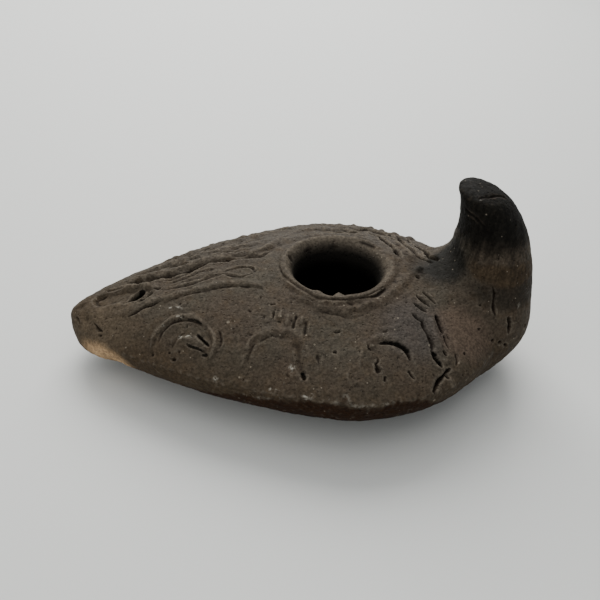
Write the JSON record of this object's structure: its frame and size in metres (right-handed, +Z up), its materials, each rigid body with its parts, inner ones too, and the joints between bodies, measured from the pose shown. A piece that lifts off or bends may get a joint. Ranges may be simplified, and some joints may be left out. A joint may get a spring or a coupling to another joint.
{
  "type": "oil lamp",
  "caption": "Hollow slipper-shaped clay oil lamp with a filling hole, a wick hole in the nozzle, raised arches and a horn handle.",
  "frame": {"origin": "on the surface that the lamp stands on, below the middle of its overall length and width", "axes": "+X from the nozzle towards the handle, +Y across the bowl, +Z up"},
  "size_m": [0.0996, 0.065, 0.0426],
  "materials": {
    "fired_clay": "matte grey-brown fired clay, sooty on the handle and round the filling hole, ruddier underneath"
  },
  "bodies": {
    "root": {"oil_lamp": "fired_clay"}
  },
  "joints": []
}
